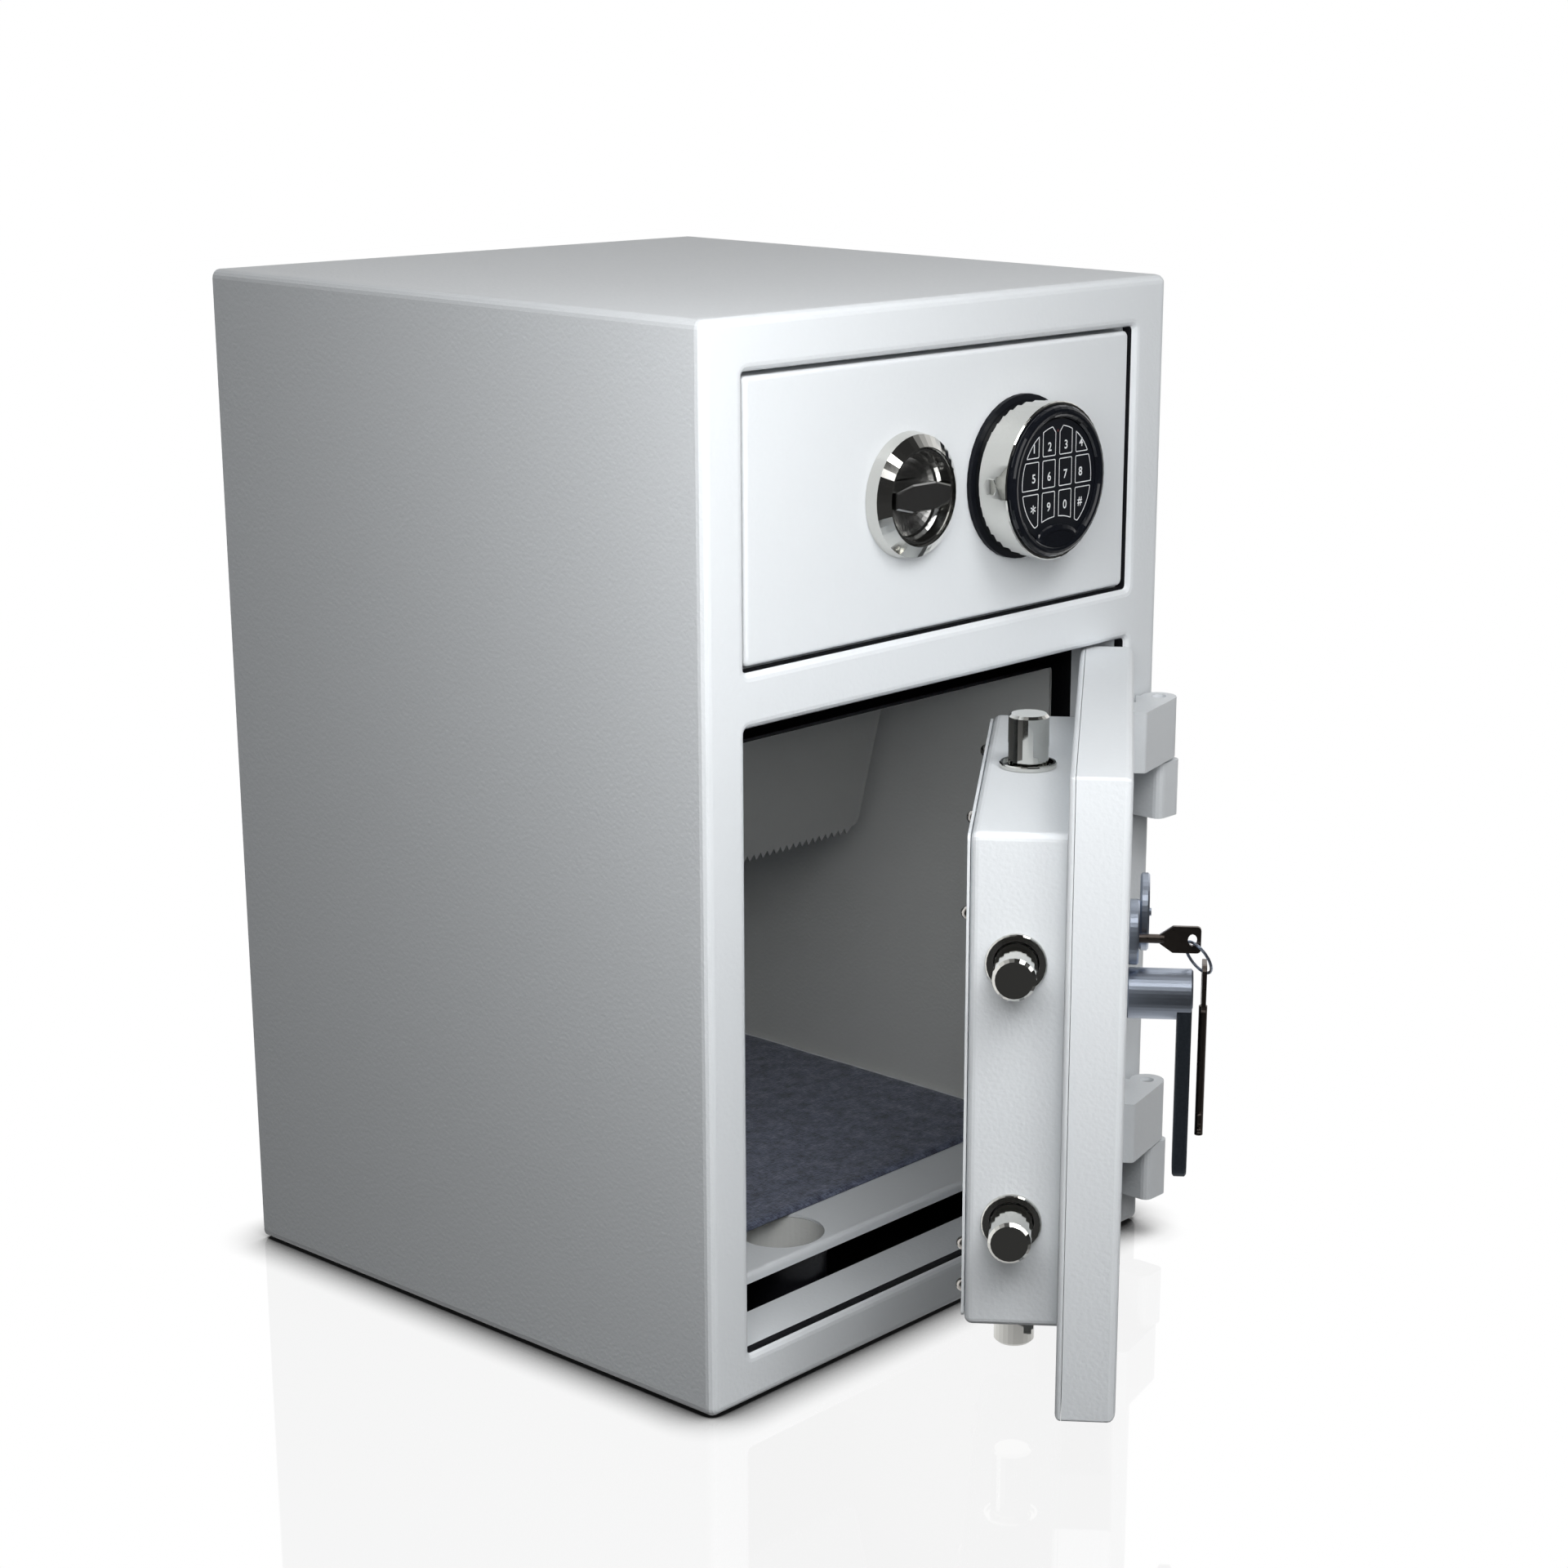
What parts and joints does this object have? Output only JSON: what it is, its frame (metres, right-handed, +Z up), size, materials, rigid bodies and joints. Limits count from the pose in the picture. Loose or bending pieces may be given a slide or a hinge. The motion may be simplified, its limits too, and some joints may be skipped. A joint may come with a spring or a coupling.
{
  "type": "drop safe with deposit drawer",
  "caption": "Floor-standing steel drop safe: keypad deposit drawer with drop flap above a hinged lever door with throw bolts, felt-floored compartment and saw-tooth anti-fishing baffle.",
  "frame": {"origin": "centre of the cabinet's base, on the floor", "axes": "+X to the right as the safe is faced, +Y to the back, +Z up; the door and drawer face -Y"},
  "size_m": [0.38, 0.578, 0.58],
  "materials": {
    "cabinet_paint": "light warm white orange-peel powder coat",
    "liner_paint": "matt cream-white powder coat",
    "felt": "mottled blue-grey pressed felt",
    "zinc_steel": "plain zinc-plated sheet steel",
    "polished_chrome": "polished chrome",
    "black_moulding": "fine matt black moulding",
    "gloss_black": "polished black moulding",
    "satin_steel": "satin turned steel",
    "slate_steel": "dark slate satin metal",
    "dark_nickel": "dark nickel plate"
  },
  "bodies": {
    "cabinet": {"outer_shell": "cabinet_paint", "back_panel": "cabinet_paint", "door_rebate": "cabinet_paint", "drawer_rebate": "cabinet_paint", "liner_wrap": "liner_paint", "liner_back": "liner_paint", "floor_pan": "liner_paint", "bolt_well": "liner_paint", "felt_mat": "felt", "drawer_deck": "zinc_steel", "drop_chute": "liner_paint", "saw_tooth_baffle": "liner_paint", "runner_left": "zinc_steel", "runner_right": "zinc_steel", "latch_keeper": "zinc_steel", "frame_hinge_upper": "cabinet_paint", "frame_hinge_lower": "cabinet_paint", "hinge_pin_upper": "zinc_steel", "hinge_pin_lower": "zinc_steel"},
    "drawer": {"drawer_front": "cabinet_paint", "drawer_tray": "zinc_steel", "slide_left": "zinc_steel", "slide_right": "zinc_steel", "handle_bezel": "polished_chrome", "keypad_gasket": "black_moulding", "keypad_housing": "polished_chrome", "keypad_bezel": "gloss_black", "keypad_mat": "black_moulding", "keypad_badge": "gloss_black", "electronic_lock": "black_moulding", "flap_pin": "zinc_steel"},
    "drop_flap": {"drop_flap": "zinc_steel"},
    "drawer_handle": {"handle_cup": "polished_chrome", "handle_bar": "polished_chrome", "latch_tongue": "zinc_steel"},
    "door": {"door_pan": "cabinet_paint", "door_back": "cabinet_paint", "bolt_box": "cabinet_paint", "box_cover": "cabinet_paint", "guide_side_upper": "polished_chrome", "guide_side_lower": "polished_chrome", "guide_top": "polished_chrome", "guide_bottom": "polished_chrome", "door_hinge_upper": "cabinet_paint", "door_hinge_lower": "cabinet_paint", "key_escutcheon": "satin_steel", "lock_case": "zinc_steel"},
    "lever": {"lever_hub": "satin_steel", "lever_blade": "slate_steel", "lever_cam": "zinc_steel"},
    "side_bolts": {"side_bolt_upper": "polished_chrome", "side_bolt_lower": "polished_chrome", "side_carriage": "zinc_steel"},
    "top_bolt": {"top_bolt": "polished_chrome"},
    "bottom_bolt": {"bottom_bolt": "polished_chrome"},
    "key_cover": {"key_cover": "satin_steel"},
    "key": {"key": "dark_nickel", "key_ring": "satin_steel"},
    "spare_key": {"spare_key": "dark_nickel"}
  },
  "joints": [
    {"name": "drawer_slide", "type": "slide", "parent": "cabinet", "child": "drawer", "axis": [0, -1, 0], "range_m": [0, 0.25]},
    {"name": "drawer_handle_turn", "type": "hinge", "parent": "drawer", "child": "drawer_handle", "pos_m": [-0.034, -0.19, 0.478], "axis": [0, 1, 0], "range_deg": [0, 90]},
    {"name": "drop_flap_swing", "type": "hinge", "parent": "drawer", "child": "drop_flap", "pos_m": [0, -0.022, 0.4118], "axis": [-1, 0, 0], "range_deg": [0, 70], "stiffness_Nm_per_rad": 0.35, "springref_deg": -40.11},
    {"name": "door_swing", "type": "hinge", "parent": "cabinet", "child": "door", "pos_m": [0.175, -0.204, 0.2], "axis": [0, 0, 1], "range_deg": [-36.7, 143.3]},
    {"name": "lever_turn", "type": "hinge", "parent": "door", "child": "lever", "pos_m": [-0.00023, -0.31528, 0.2215], "axis": [0.5976, -0.8018, 0], "range_deg": [-60, 25]},
    {"name": "side_bolt_slide", "type": "slide", "parent": "door", "child": "side_bolts", "axis": [-0.8018, -0.5976, 0], "range_m": [-0.02801, 0.01168]},
    {"name": "top_bolt_slide", "type": "slide", "parent": "door", "child": "top_bolt", "axis": [0, 0, 1], "range_m": [-0.02801, 0.01168]},
    {"name": "bottom_bolt_slide", "type": "slide", "parent": "door", "child": "bottom_bolt", "axis": [0, 0, -1], "range_m": [-0.02801, 0.01168]},
    {"name": "key_cover_swing", "type": "hinge", "parent": "door", "child": "key_cover", "pos_m": [0.01247, -0.31392, 0.2635], "axis": [0.5976, -0.8018, 0], "range_deg": [-6, 20]},
    {"name": "key_turn", "type": "hinge", "parent": "door", "child": "key", "pos_m": [-0.00023, -0.31528, 0.252], "axis": [0.5976, -0.8018, 0], "range_deg": [0, 90]},
    {"name": "spare_key_swing", "type": "hinge", "parent": "key", "child": "spare_key", "pos_m": [0.0287, -0.34547, 0.23247], "axis": [0.5976, -0.8018, 0], "range_deg": [-90, 0]}
  ],
  "couplings": [
    {"joint": "side_bolt_slide", "follows": "lever_turn", "m_per_rad": 0.026738},
    {"joint": "top_bolt_slide", "follows": "lever_turn", "m_per_rad": 0.026738},
    {"joint": "bottom_bolt_slide", "follows": "lever_turn", "m_per_rad": 0.026738},
    {"joint": "spare_key_swing", "follows": "key_turn", "ratio": -1}
  ]
}
